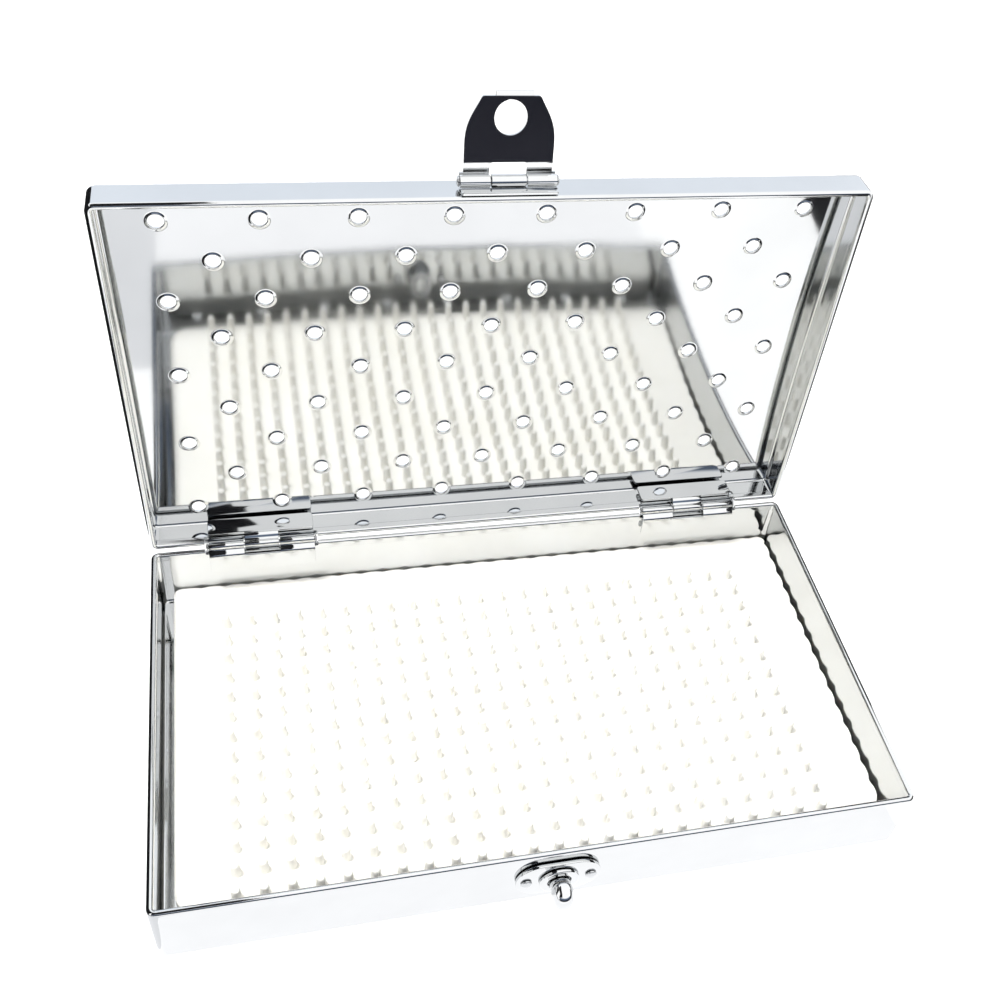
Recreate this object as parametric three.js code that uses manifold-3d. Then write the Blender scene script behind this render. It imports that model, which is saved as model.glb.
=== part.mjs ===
// Surgical instrument box: a perforated stainless tray with a perforated hinged lid, a silicone finger mat,
// two butt hinges at the back seam, a swinging hasp on the lid and a turn knob on the front wall.
// Millimetres, +Z up, +X to the right, +Y to the back. The origin is the centre of the tray's underside.
// The lid is modelled closed and then swung open about the hinge pins, as the box is shown.
import * as THREE from "three";
import { mergeVertices } from "three/addons/utils/BufferGeometryUtils.js";
import Module from "manifold-3d";

const wasm = await Module();
wasm.setup();

// ---------------------------------------------------------------- driving dimensions (mm)
const LENGTH = 200; // along X
const WIDTH = 115; // along Y
const TRAY_H = 23; // tray height
const LID_D = 10; // lid depth, plate to free edge
const SEAM = 0.4; // gap between the two rims when shut
const SHEET = 0.8; // sheet thickness
const HEM_T = 1.8; // folded rim thickness
const TRAY_HEM = 2.6; // folded rim height on the tray
const LID_HEM = 2.6; // folded rim height on the lid
const CORNER_R = 2.4; // upright corner radius, outside
const BEND_R = 1.7; // floor and plate bend radius, outside
const OPEN_DEG = 91.5; // lid opening shown

const HOLE_R = 1.9; // perforation radius
const HOLE_PX = 24.4; // perforation pitch along X
const HOLE_PY = 12.1; // row pitch along Y, alternate rows shifted half a pitch
const HOLE_ROWS = 9;
const HOLE_CY = -1.4; // the pattern sits a little off the middle

const MAT_X = 96.3; // half size of the mat
const MAT_Y = 52.9;
const MAT_CX = 0.9; // the loose mat lies against the back and right walls
const MAT_CY = 2.7;
const MAT_Z0 = 1.1;
const MAT_Z1 = 6.5; // top of the mat's web
const MAT_CORNER = 4;
const PEG_X = 81.3; // half size of the field of fingers
const PEG_Y = 45.3;
const PEG_CX = -0.4;
const PEG_CY = -3.8;
const PEG_Z = 11.2; // finger tips

const HINGE_X = 68; // hinge centres at +/- this
const HINGE_HALF = 15.5; // half the barrel length
const BARREL_R = 1.5;
const BORE_R = 1.0;
const PIN_R = 0.85;
const PIVOT_Y = WIDTH / 2;
const PIVOT_Z = TRAY_H + SEAM / 2;
const LEAF_T = 0.8;
const CLEAR = 0.3; // gap kept between touching pieces

const HASP_HALF = 12.3; // half the hasp barrel
const HASP_R = 1.65;
const HASP_BORE = 1.08;
const HASP_PIN_R = 0.92;
const HASP_Y = -WIDTH / 2 - CLEAR - HASP_R; // barrel axis, lid shut
const HASP_Z = TRAY_H + SEAM + LID_D - 5.2;
const HASP_LEAF_HALF = 11.3;
const HASP_LEN = 20.9; // barrel axis to the leaf's end
const HASP_HOLE = 15.6; // barrel axis to the hole's centre
const HASP_HOLE_RX = 4.0;
const HASP_HOLE_RZ = 4.4;
const HASP_LEAN_DEG = 96; // leaf angle from hanging, as shown
const KNOB_Z = HASP_Z - HASP_HOLE;
const KNOB_X = 0;

const PLATE_HALF = 11.3; // latch plate, round ends
const PLATE_HALF_Z = 7;

// ---------------------------------------------------------------- solids
function solidOf(geometry) {
  const g = geometry.index ? geometry.toNonIndexed() : geometry.clone();
  for (const name of Object.keys(g.attributes))
    if (name !== "position") g.deleteAttribute(name);
  const m = mergeVertices(g, 1e-4);
  const s = new wasm.Manifold(
    new wasm.Mesh({
      numProp: 3,
      vertProperties: new Float32Array(m.attributes.position.array),
      triVerts: new Uint32Array(m.index.array),
    }),
  );
  if (!(s.volume() > 0)) throw new Error("a solid's faces point inwards");
  return s;
}

function geometryOf(solid) {
  const m = solid.getMesh();
  const g = new THREE.BufferGeometry();
  const v = new Float32Array(m.numVert * 3);
  for (let i = 0; i < m.numVert; i++)
    v.set(m.vertProperties.subarray(i * m.numProp, i * m.numProp + 3), i * 3);
  g.setAttribute("position", new THREE.BufferAttribute(v, 3));
  g.setIndex(new THREE.BufferAttribute(new Uint32Array(m.triVerts), 1));
  const flat = g.toNonIndexed();
  flat.computeVertexNormals();
  return flat;
}

const union = (list) => list.reduce((a, b) => a.add(b));

// box between two corners
function box(x0, x1, y0, y1, z0, z1) {
  const g = new THREE.BoxGeometry(x1 - x0, y1 - y0, z1 - z0);
  g.translate((x0 + x1) / 2, (y0 + y1) / 2, (z0 + z1) / 2);
  return solidOf(g);
}

// outline in (u, v) drawn up the Z axis from z0 to z1
function extrudeUp(points, z0, z1) {
  const g = new THREE.ExtrudeGeometry(new THREE.Shape(points), {
    depth: z1 - z0,
    bevelEnabled: false,
    steps: 1,
  });
  g.translate(0, 0, z0);
  return solidOf(g);
}

// outline in (y, z) drawn along X from x0 to x1
function extrudeX(points, x0, x1) {
  const g = new THREE.ExtrudeGeometry(
    new THREE.Shape(points.map(([y, z]) => new THREE.Vector2(y, z))),
    { depth: x1 - x0, bevelEnabled: false, steps: 1 },
  );
  // shape x -> world Y, shape y -> world Z, depth -> world X
  g.applyMatrix4(
    new THREE.Matrix4().set(0, 0, 1, x0, 1, 0, 0, 0, 0, 1, 0, 0, 0, 0, 0, 1),
  );
  return solidOf(g);
}

// outline in (x, z) drawn along Y from y0 to y1
function extrudeY(points, y0, y1) {
  const g = new THREE.ExtrudeGeometry(
    new THREE.Shape(points.map(([x, z]) => new THREE.Vector2(x, z))),
    { depth: y1 - y0, bevelEnabled: false, steps: 1 },
  );
  // shape x -> X, shape y -> Z, depth -> -Y keeps the turning sense
  g.applyMatrix4(
    new THREE.Matrix4().set(1, 0, 0, 0, 0, 0, -1, y1, 0, 1, 0, 0, 0, 0, 0, 1),
  );
  return solidOf(g);
}

function circle(cx, cy, r, n, phase = 0.5) {
  const out = [];
  for (let i = 0; i < n; i++) {
    const a = ((i + phase) / n) * Math.PI * 2;
    out.push([cx + r * Math.cos(a), cy + r * Math.sin(a)]);
  }
  return out;
}
const rodX = (y, z, r, n, x0, x1, phase) =>
  extrudeX(circle(y, z, r, n, phase), x0, x1);
const rodY = (x, z, r, n, y0, y1, phase) =>
  extrudeY(circle(x, z, r, n, phase), y0, y1);

// rounded rectangle, counter-clockwise, k points on each corner
function roundRect(hx, hy, r, k = 4) {
  const out = [];
  const corners = [
    [hx - r, hy - r, 0],
    [-hx + r, hy - r, 1],
    [-hx + r, -hy + r, 2],
    [hx - r, -hy + r, 3],
  ];
  for (const [cx, cy, q] of corners)
    for (let i = 0; i < k; i++) {
      const a = (q + i / (k - 1)) * (Math.PI / 2);
      out.push([cx + r * Math.cos(a), cy + r * Math.sin(a)]);
    }
  return out;
}

// closed solid through a stack of rounded rectangles: [z, inset, corner radius]
function loft(rings, hx, hy, k = 4) {
  const pos = [];
  const idx = [];
  const n = 4 * k;
  for (const [z, inset, r] of rings)
    for (const [x, y] of roundRect(hx - inset, hy - inset, r, k))
      pos.push(x, y, z);
  for (let s = 0; s < rings.length - 1; s++)
    for (let i = 0; i < n; i++) {
      const j = (i + 1) % n;
      const a = s * n + i,
        b = s * n + j,
        c = (s + 1) * n + j,
        d = (s + 1) * n + i;
      idx.push(a, b, c, a, c, d);
    }
  const top = (rings.length - 1) * n;
  for (let i = 1; i < n - 1; i++) {
    idx.push(0, i + 1, i); // underside
    idx.push(top, top + i, top + i + 1); // top
  }
  const g = new THREE.BufferGeometry();
  g.setAttribute("position", new THREE.BufferAttribute(new Float32Array(pos), 3));
  g.setIndex(idx);
  return solidOf(g);
}

// ---------------------------------------------------------------- perforated shells
function holeCentres() {
  const out = [];
  for (let r = 0; r < HOLE_ROWS; r++) {
    const n = r % 2 ? 7 : 8;
    for (let c = 0; c < n; c++)
      out.push([
        (c - (n - 1) / 2) * HOLE_PX,
        (r - (HOLE_ROWS - 1) / 2) * HOLE_PY + HOLE_CY,
      ]);
  }
  return out;
}

// pan open at the top, its floor at z = 0
function pan(height, hem) {
  const R = CORNER_R;
  const outer = loft(
    [
      [0, BEND_R, R],
      [BEND_R * 0.13, BEND_R * 0.5, R],
      [BEND_R * 0.5, BEND_R * 0.13, R],
      [BEND_R, 0, R],
      [height, 0, R],
    ],
    LENGTH / 2,
    WIDTH / 2,
  );
  const ri = R - SHEET;
  const inner = loft(
    [
      [SHEET, SHEET + BEND_R - SHEET, ri],
      [SHEET + 0.25, SHEET + 0.25, ri],
      [BEND_R, SHEET, ri],
      [height - hem - 0.6, SHEET, ri],
      [height - hem, HEM_T, ri],
      [height + 1, HEM_T, ri],
    ],
    LENGTH / 2,
    WIDTH / 2,
  );
  const drills = union(
    holeCentres().map(([x, y]) =>
      extrudeUp(
        circle(x, y, HOLE_R, 8).map(([a, b]) => new THREE.Vector2(a, b)),
        -1,
        SHEET + 1,
      ),
    ),
  );
  return outer.subtract(inner).subtract(drills);
}

// room for a hinge barrel in both rims
const seat = (cx) =>
  box(
    cx - HINGE_HALF - 1.15,
    cx + HINGE_HALF + 1.15,
    PIVOT_Y - HEM_T - 0.4,
    PIVOT_Y + 2,
    PIVOT_Z - BARREL_R - 0.35,
    PIVOT_Z + BARREL_R + 0.35,
  );

const baseTray = pan(TRAY_H, TRAY_HEM)
  .subtract(seat(-HINGE_X))
  .subtract(seat(HINGE_X))
  .subtract(rodY(KNOB_X, KNOB_Z, 3.1, 16, -WIDTH / 2 - 1, -WIDTH / 2 + 2))
  .subtract(rodY(KNOB_X - 8.6, KNOB_Z, 1.25, 8, -WIDTH / 2 - 1, -WIDTH / 2 + 2))
  .subtract(rodY(KNOB_X + 8.6, KNOB_Z, 1.25, 8, -WIDTH / 2 - 1, -WIDTH / 2 + 2));

// the lid is the same pan turned over: plate on top, free edge at TRAY_H + SEAM
const lidTop = TRAY_H + SEAM + LID_D;
const lidShell = solidOf(
  geometryOf(pan(LID_D, LID_HEM)).applyMatrix4(
    new THREE.Matrix4().set(1, 0, 0, 0, 0, -1, 0, 0, 0, 0, -1, lidTop, 0, 0, 0, 1),
  ),
)
  .subtract(seat(-HINGE_X))
  .subtract(seat(HINGE_X));

// ---------------------------------------------------------------- silicone mat
// one moulding: the web with its feet, and the space its fingers fill above it
const mat = loft(
  [
    [MAT_Z0, 0.3, MAT_CORNER],
    [MAT_Z1 - 0.4, 0, MAT_CORNER],
    [MAT_Z1, 0.4, MAT_CORNER],
  ],
  MAT_X,
  MAT_Y,
  5,
)
  .translate([MAT_CX, MAT_CY, 0])
  .add(
  loft(
    [
      [MAT_Z1 - 1, 0, 1.4],
      [PEG_Z, 0.5, 1.2],
    ],
    PEG_X,
    PEG_Y,
    3,
  ).translate([PEG_CX, PEG_CY, 0]),
);

// ---------------------------------------------------------------- hinges
const RIM_IN = PIVOT_Y - HEM_T; // inner face of the folded rims
const leafY1 = RIM_IN - CLEAR - PIVOT_Y; // leaf faces, from the pin
const leafY0 = leafY1 - LEAF_T;

// half = -1 for the tray leaf (down), +1 for the lid leaf (up); knuckles = list of [x0, x1]
function hingeLeaf(cx, half, reach, knuckles) {
  const at = (pts) =>
    (half < 0 ? pts : pts.map(([y, z]) => [y, -z]).reverse()).map(([y, z]) => [
      PIVOT_Y + y,
      PIVOT_Z + z,
    ]);
  const parts = [
    extrudeX(
      at([
        [leafY0, -reach],
        [leafY1, -reach],
        [leafY1, -1.35],
        [leafY0, -1.35],
      ]),
      cx - HINGE_HALF,
      cx + HINGE_HALF,
    ),
  ];
  for (const [a, b] of knuckles) {
    parts.push(
      extrudeX(
        at([
          [leafY0, -1.6],
          [leafY1, -1.6],
          [leafY1, -1.3],
          [-1.1, -1.0],
          [-1.2, -0.1],
          [leafY1 + 0.2, -0.55],
          [leafY0, -0.95],
        ]),
        cx + a,
        cx + b,
      ),
      rodX(PIVOT_Y, PIVOT_Z, BARREL_R, 14, cx + a, cx + b),
    );
  }
  let s = union(parts);
  for (const [a, b] of knuckles)
    s = s.subtract(
      rodX(PIVOT_Y, PIVOT_Z, BORE_R, 14, cx + a - 0.5, cx + b + 0.5),
    );
  return s;
}

const trayKnuckles = [
  [-HINGE_HALF, -5.3],
  [5.3, HINGE_HALF],
];
const lidKnuckles = [[-4.95, 4.95]];

// pin with a small peened head at each end
function pinX(cx, y, z, half, r, headR, phase) {
  return union([
    rodX(y, z, r, 12, cx - half - 0.7, cx + half + 0.7, phase),
    rodX(y, z, headR, 12, cx - half - 0.8, cx - half - 0.3, phase),
    rodX(y, z, headR, 12, cx + half + 0.3, cx + half + 0.8, phase),
  ]);
}

// ---------------------------------------------------------------- hasp
const FIXED_Y1 = -WIDTH / 2 - CLEAR;
const FIXED_Y0 = FIXED_Y1 - LEAF_T;
const FIXED_Z0 = TRAY_H + SEAM + 0.5;
const haspFixed = union([
  box(-HASP_HALF, HASP_HALF, FIXED_Y0, FIXED_Y1, FIXED_Z0, HASP_Z - HASP_R - 0.4),
  box(-4.4, 4.4, FIXED_Y0, FIXED_Y1, HASP_Z - HASP_R - 0.6, HASP_Z - 0.3),
  rodX(HASP_Y, HASP_Z, HASP_R, 16, -4.4, 4.4),
]).subtract(rodX(HASP_Y, HASP_Z, HASP_BORE, 16, -6, 6));

const haspPin = pinX(0, HASP_Y, HASP_Z, HASP_HALF, HASP_PIN_R, 1.35, 0.5);

// leaf outline, lid shut and leaf hanging: (x, distance below the barrel)
function haspOutline() {
  const w = HASP_LEAF_HALF,
    e = HASP_LEN;
  const left = [
    [w, 0.3],
    [w, e - 11.9],
    [w - 0.1, e - 9.9],
    [w - 0.4, e - 8],
    [w - 0.95, e - 6.2],
    [w - 1.65, e - 4.6],
    [w - 2.45, e - 3.1],
    [w - 3.3, e - 1.6],
    [w - 3.85, e - 0.6],
    [w - 4.5, e],
  ].map(([x, d]) => [-x, d]);
  const right = left.map(([x, d]) => [-x, d]).reverse();
  return [...left, ...right];
}
const LEAF_Y0 = HASP_Y - HASP_R; // outer face of the hanging leaf
const LEAF_Y1 = LEAF_Y0 + LEAF_T;
const haspLeaf = (() => {
  const plate = extrudeY(
    haspOutline()
      .map(([x, d]) => [x, HASP_Z - d])
      .reverse(),
    LEAF_Y0,
    LEAF_Y1,
  );
  const notch = box(-4.75, 4.75, LEAF_Y0 - 1, LEAF_Y1 + 2.6, HASP_Z - 4.4, HASP_Z + 3);
  const hole = [];
  for (let i = 0; i < 16; i++) {
    const a = ((i + 0.5) / 16) * Math.PI * 2;
    hole.push([
      HASP_HOLE_RX * Math.cos(a),
      HASP_Z - HASP_HOLE + HASP_HOLE_RZ * Math.sin(a),
    ]);
  }
  // finger lip turned out at the free end
  const lip = extrudeX(
    [
      [LEAF_Y0 + 0.1, HASP_Z - HASP_LEN + 0.7],
      [LEAF_Y0 + 0.1, HASP_Z - HASP_LEN - 0.02],
      [LEAF_Y0 + 0.5, HASP_Z - HASP_LEN - 0.02],
      [LEAF_Y0 + 0.5, HASP_Z - HASP_LEN + 0.7],
    ],
    -4,
    5.6,
  ).add(
    extrudeX(
      [
        [LEAF_Y0 - 0.9, HASP_Z - HASP_LEN - 0.5],
        [LEAF_Y0 - 0.5, HASP_Z - HASP_LEN - 0.9],
        [LEAF_Y0 + 0.5, HASP_Z - HASP_LEN - 0.02],
        [LEAF_Y0 + 0.3, HASP_Z - HASP_LEN + 0.6],
      ],
      -4,
      5.6,
    ),
  );
  let s = plate.add(lip);
  for (const k of [-1, 1])
    s = s.add(
      rodX(
        HASP_Y,
        HASP_Z,
        HASP_R,
        16,
        k < 0 ? -HASP_HALF : 4.75,
        k < 0 ? -4.75 : HASP_HALF,
      ),
    );
  return s
    .subtract(notch)
    .subtract(extrudeY(hole, LEAF_Y0 - 2, LEAF_Y1 + 1))
    .subtract(rodX(HASP_Y, HASP_Z, HASP_BORE, 16, -HASP_HALF - 1, HASP_HALF + 1));
})();

// ---------------------------------------------------------------- latch on the front wall
const WALL_OUT = -WIDTH / 2;
const WALL_IN = WALL_OUT + SHEET;

// plate with round ends
function plateOutline() {
  const pts = [];
  const cx = PLATE_HALF - PLATE_HALF_Z;
  for (let i = 0; i <= 8; i++) {
    const a = -Math.PI / 2 + (i / 8) * Math.PI;
    pts.push([cx + PLATE_HALF_Z * Math.cos(a), KNOB_Z + PLATE_HALF_Z * Math.sin(a)]);
  }
  for (let i = 0; i <= 8; i++) {
    const a = Math.PI / 2 + (i / 8) * Math.PI;
    pts.push([-cx + PLATE_HALF_Z * Math.cos(a), KNOB_Z + PLATE_HALF_Z * Math.sin(a)]);
  }
  return pts;
}
const latchPlate = extrudeY(plateOutline(), WALL_OUT - CLEAR - 1.0, WALL_OUT - CLEAR)
  .subtract(rodY(KNOB_X, KNOB_Z, 3.1, 16, -60, -50))
  .subtract(rodY(KNOB_X - 8.6, KNOB_Z, 1.25, 8, -60, -50))
  .subtract(rodY(KNOB_X + 8.6, KNOB_Z, 1.25, 8, -60, -50));

// round things on the knob's axis: profile [[radius, y], ...] closed on itself or on the axis, run
// in the sense that leaves the faces pointing out
function turned(profile, n) {
  const g = new THREE.LatheGeometry(
    profile.map(([r, y]) => new THREE.Vector2(r, y)),
    n,
  );
  g.translate(KNOB_X, 0, KNOB_Z);
  return solidOf(g);
}
const P = (p) => WALL_OUT - p; // p = distance out from the front wall

const latchFerrule = turned(
  [
    [3.05, P(2.3)],
    [3.05, P(1.6)],
    [5.3, P(1.6)],
    [5.3, P(2.0)],
    [4.7, P(2.5)],
    [3.3, P(2.5)],
    [3.05, P(2.3)],
  ].reverse(),
  20,
);

// wave washer and flat washer inside the front wall
const springWasher = (() => {
  const g = new THREE.LatheGeometry(
    [
      [3.0, 0],
      [3.0, 0.35],
      [4.6, 0.35],
      [4.6, 0],
      [3.0, 0],
    ]
      .reverse()
      .map(([r, y]) => new THREE.Vector2(r, y)),
    24,
  );
  const p = g.attributes.position;
  for (let i = 0; i < p.count; i++) {
    const a = Math.atan2(p.getZ(i), p.getX(i));
    p.setY(i, p.getY(i) + WALL_IN + 0.45 + 0.15 * Math.cos(3 * a));
  }
  g.translate(KNOB_X, 0, KNOB_Z);
  return solidOf(g);
})();
const backingWasher = turned(
  [
    [3.0, WALL_IN + 1.25],
    [4.6, WALL_IN + 1.25],
    [4.6, WALL_IN + 1.75],
    [3.0, WALL_IN + 1.75],
    [3.0, WALL_IN + 1.25],
  ],
  20,
);

// the knob: spindle through the wall, neck, and a wing that narrows towards its tip
const turnKnob = (() => {
  const spindle = turned(
    [
      [0, P(4.4)],
      [2.75, P(4.4)],
      [2.75, P(2.7)],
      [2.5, P(2.0)],
      [2.5, WALL_IN + 2.9],
      [2.3, WALL_IN + 3.1],
      [0, WALL_IN + 3.1],
    ],
    16,
  );
  const wing = loftY([
    [P(4.05), 2.7, 4.15],
    [P(5.2), 2.85, 4.05],
    [P(7.0), 2.7, 3.65],
    [P(8.3), 2.35, 3.1],
    [P(9.1), 1.75, 2.45],
    [P(9.5), 1.1, 1.65],
  ]);
  return spindle.add(wing);
})();

// stack of rounded rectangles along -Y: [y, half x, half z]
function loftY(rings) {
  const k = 4,
    n = 4 * k;
  const pos = [];
  const idx = [];
  for (const [y, hx, hz] of rings)
    for (const [x, z] of roundRect(hx, hz, Math.min(hx, hz) * 0.72, k))
      pos.push(KNOB_X + x, y, KNOB_Z + z);
  for (let s = 0; s < rings.length - 1; s++)
    for (let i = 0; i < n; i++) {
      const j = (i + 1) % n;
      const a = s * n + i,
        b = s * n + j,
        c = (s + 1) * n + j,
        d = (s + 1) * n + i;
      idx.push(a, b, c, a, c, d);
    }
  const top = (rings.length - 1) * n;
  for (let i = 1; i < n - 1; i++) {
    idx.push(0, i + 1, i);
    idx.push(top, top + i, top + i + 1);
  }
  const g = new THREE.BufferGeometry();
  g.setAttribute("position", new THREE.BufferAttribute(new Float32Array(pos), 3));
  g.setIndex(idx);
  return solidOf(g);
}

// retaining collar pressed on the spindle's tail
const retainer = turned(
  [
    [2.8, WALL_IN + 2.05],
    [4.1, WALL_IN + 2.05],
    [4.1, WALL_IN + 2.5],
    [3.9, WALL_IN + 2.75],
    [2.8, WALL_IN + 2.75],
    [2.8, WALL_IN + 2.05],
  ],
  16,
);

// rivet through the latch plate and the wall
function rivet(x) {
  return union([
    rodY(x, KNOB_Z, 0.9, 10, P(1.8), WALL_IN + 0.6),
    rodY(x, KNOB_Z, 1.55, 10, P(1.95), P(1.6)),
    rodY(x, KNOB_Z, 1.2, 10, P(2.25), P(1.9)),
    rodY(x, KNOB_Z, 1.6, 10, WALL_IN + 0.3, WALL_IN + 0.85),
  ]);
}

// ---------------------------------------------------------------- assembly
const steel = (color, roughness) =>
  new THREE.MeshStandardMaterial({ color, roughness, metalness: 1 });
const polished = () => steel(0xd9dce0, 0.12);
const satin = () => steel(0xc3c7cc, 0.28);
const silicone = () =>
  new THREE.MeshStandardMaterial({ color: 0xf3f1ea, roughness: 0.55, metalness: 0 });

function mesh(name, solid, material) {
  const m = new THREE.Mesh(geometryOf(solid), material);
  m.name = name;
  return m;
}

const box_ = new THREE.Group();
const tray = new THREE.Group();
tray.add(
  mesh("base_tray", baseTray, polished()),
  mesh("silicone_mat", mat, silicone()),
  mesh("latch_plate", latchPlate, polished()),
  mesh("latch_ferrule", latchFerrule, polished()),
  mesh("latch_rivet_left", rivet(KNOB_X - 8.6), satin()),
  mesh("latch_rivet_right", rivet(KNOB_X + 8.6), satin()),
  mesh("knob_spring_washer", springWasher, satin()),
  mesh("knob_backing_washer", backingWasher, satin()),
);
const knobGroup = new THREE.Group();
knobGroup.add(
  mesh("turn_knob", turnKnob, polished()),
  mesh("knob_retaining_collar", retainer, satin()),
);
for (const [side, cx] of [
  ["left", -HINGE_X],
  ["right", HINGE_X],
])
  tray.add(
    mesh("hinge_" + side + "_tray_leaf", hingeLeaf(cx, -1, 8.2, trayKnuckles), polished()),
    mesh("hinge_" + side + "_pin", pinX(cx, PIVOT_Y, PIVOT_Z, HINGE_HALF, PIN_R, 1.3, 0.5), satin()),
  );

// everything on the lid hangs in two nested groups: one moves the hinge axis to the origin, one swings
const lidSwing = new THREE.Group();
lidSwing.position.set(0, PIVOT_Y, PIVOT_Z);
lidSwing.rotation.x = -THREE.MathUtils.degToRad(OPEN_DEG);
const lid = new THREE.Group();
lid.position.set(0, -PIVOT_Y, -PIVOT_Z);
lidSwing.add(lid);
lid.add(
  mesh("lid_shell", lidShell, polished()),
  mesh("hasp_fixed_leaf", haspFixed, polished()),
  mesh("hasp_pin", haspPin, satin()),
);
for (const [side, cx] of [
  ["left", -HINGE_X],
  ["right", HINGE_X],
])
  lid.add(
    mesh("hinge_" + side + "_lid_leaf", hingeLeaf(cx, 1, 7.4, lidKnuckles), polished()),
  );

const haspSwing = new THREE.Group();
haspSwing.position.set(0, HASP_Y, HASP_Z);
haspSwing.rotation.x = -THREE.MathUtils.degToRad(HASP_LEAN_DEG);
const hasp = new THREE.Group();
hasp.position.set(0, -HASP_Y, -HASP_Z);
hasp.add(mesh("hasp_leaf", haspLeaf, polished()));
haspSwing.add(hasp);
lid.add(haspSwing);

box_.add(tray, knobGroup, lidSwing);
export default box_;
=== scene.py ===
import math

import bmesh
import bpy
from mathutils import Matrix, Vector
from mathutils.geometry import delaunay_2d_cdt


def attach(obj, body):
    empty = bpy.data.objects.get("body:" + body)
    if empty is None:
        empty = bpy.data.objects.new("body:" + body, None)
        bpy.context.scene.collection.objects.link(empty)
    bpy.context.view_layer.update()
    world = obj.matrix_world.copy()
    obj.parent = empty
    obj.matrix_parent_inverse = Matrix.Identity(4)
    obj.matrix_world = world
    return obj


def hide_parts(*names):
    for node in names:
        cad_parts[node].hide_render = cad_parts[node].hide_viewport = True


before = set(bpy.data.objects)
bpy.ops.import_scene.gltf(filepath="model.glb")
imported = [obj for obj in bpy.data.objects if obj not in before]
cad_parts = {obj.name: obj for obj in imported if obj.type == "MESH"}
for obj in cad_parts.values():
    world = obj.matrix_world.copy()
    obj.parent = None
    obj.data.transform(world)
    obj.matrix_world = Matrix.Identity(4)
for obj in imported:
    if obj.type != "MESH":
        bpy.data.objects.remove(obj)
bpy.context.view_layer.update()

# Sizes are in millimetres here, as in the frame; meshes are scaled to metres when they are made.
# ------------------------------------------------------------------ dimensions of the frame
LENGTH, WIDTH, TRAY_H, LID_D, SEAM = 200.0, 115.0, 23.0, 10.0, 0.4
SHEET, HEM_T, TRAY_HEM, LID_HEM = 0.8, 1.8, 2.6, 2.6
CORNER_R, BEND_R = 2.4, 1.7
HOLE_R, HOLE_PX, HOLE_PY, HOLE_ROWS, HOLE_CY = 1.9, 24.4, 12.1, 9, -1.4
LID_TOP = TRAY_H + SEAM + LID_D
PIVOT_Y, PIVOT_Z = WIDTH / 2, TRAY_H + SEAM / 2
HINGE_X, HINGE_HALF = 68.0, 15.5
HASP_Y, HASP_Z = -WIDTH / 2 - 1.95, LID_TOP - 5.2
HASP_HOLE, HASP_LEN = 15.6, 20.9
KNOB_Z = HASP_Z - HASP_HOLE
WALL_OUT = -WIDTH / 2
WALL_IN = WALL_OUT + SHEET
OPEN, LEAN = math.radians(91.5), math.radians(96.0)

SWING = (
    Matrix.Translation((0, PIVOT_Y, PIVOT_Z))
    @ Matrix.Rotation(-OPEN, 4, "X")
    @ Matrix.Translation((0, -PIVOT_Y, -PIVOT_Z))
)
HASP = (
    SWING
    @ Matrix.Translation((0, HASP_Y, HASP_Z))
    @ Matrix.Rotation(-LEAN, 4, "X")
    @ Matrix.Translation((0, -HASP_Y, -HASP_Z))
)
HERE = Matrix.Identity(4)
TAU = 2 * math.pi


# ------------------------------------------------------------------ mesh building
class Build:
    """Vertices and faces of one closed body."""

    def __init__(self):
        self.v, self.f = [], []

    def ring(self, points):
        start = len(self.v)
        self.v.extend(points)
        return list(range(start, len(self.v)))

    def bridge(self, a, b, flip=False):
        n = len(a)
        for i in range(n):
            j = (i + 1) % n
            q = (a[i], a[j], b[j], b[i])
            self.f.append(q[::-1] if flip else q)

    def cap(self, ring, flip=False):
        self.f.append(tuple(ring[::-1] if flip else ring))

    def fan(self, ring, point, flip=False):
        c = self.ring([point])[0]
        n = len(ring)
        for i in range(n):
            t = (ring[i], ring[(i + 1) % n], c)
            self.f.append(t[::-1] if flip else t)

    def plate(self, outer, holes, discs, flip=False, spots=()):
        """Flat triangles between the outer ring and the hole rings; discs are (x, y, r) of the holes."""
        loops = [outer] + holes
        ids, pts, edges = [], [], []
        for loop in loops:
            s = len(pts)
            ids.extend(loop)
            pts.extend(Vector(self.v[i][:2]) for i in loop)
            n = len(loop)
            edges.extend((s + k, s + (k + 1) % n) for k in range(n))
        if spots:
            ids.extend(self.ring(list(spots)))
            pts.extend(Vector(p[:2]) for p in spots)
        out = delaunay_2d_cdt(pts, edges, [], 1, 1e-6)
        back = [o[0] if o else None for o in out[3]]
        cells = {}
        for x, y, r in discs:
            cells.setdefault((int(x // 8), int(y // 8)), []).append((x, y, r))
        for tri in out[2]:
            if len(tri) != 3:
                continue
            p = [out[0][k] for k in tri]
            cx, cy = sum(q.x for q in p) / 3, sum(q.y for q in p) / 3
            gx, gy = int(cx // 8), int(cy // 8)
            inside = any(
                (cx - x) ** 2 + (cy - y) ** 2 < (r * 0.985) ** 2
                for dx in (-1, 0, 1)
                for dy in (-1, 0, 1)
                for x, y, r in cells.get((gx + dx, gy + dy), ())
            )
            if inside:
                continue
            t = [ids[back[k]] for k in tri]
            area = (p[1].x - p[0].x) * (p[2].y - p[0].y) - (p[1].y - p[0].y) * (
                p[2].x - p[0].x
            )
            if area < 0:
                t = t[::-1]
            self.f.append(tuple(t[::-1] if flip else t))

    def mesh(self, name, matrix=HERE):
        me = bpy.data.meshes.new(name)
        me.from_pydata([tuple((matrix @ Vector(p)) * 0.001) for p in self.v], [], self.f)
        me.validate(clean_customdata=False)
        me.update()
        return me


def smooth(me, degrees=42, flat=None):
    """Smooth shading that breaks at sharp edges; faces larger than flat (mm2) keep their own normal."""
    me.set_sharp_from_angle(angle=math.radians(degrees))
    me.polygons.foreach_set(
        "use_smooth", [flat is None or p.area < flat * 1e-6 for p in me.polygons]
    )
    me.update()


def link(name, me):
    o = bpy.data.objects.new(name, me)
    bpy.context.scene.collection.objects.link(o)
    return o


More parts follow.
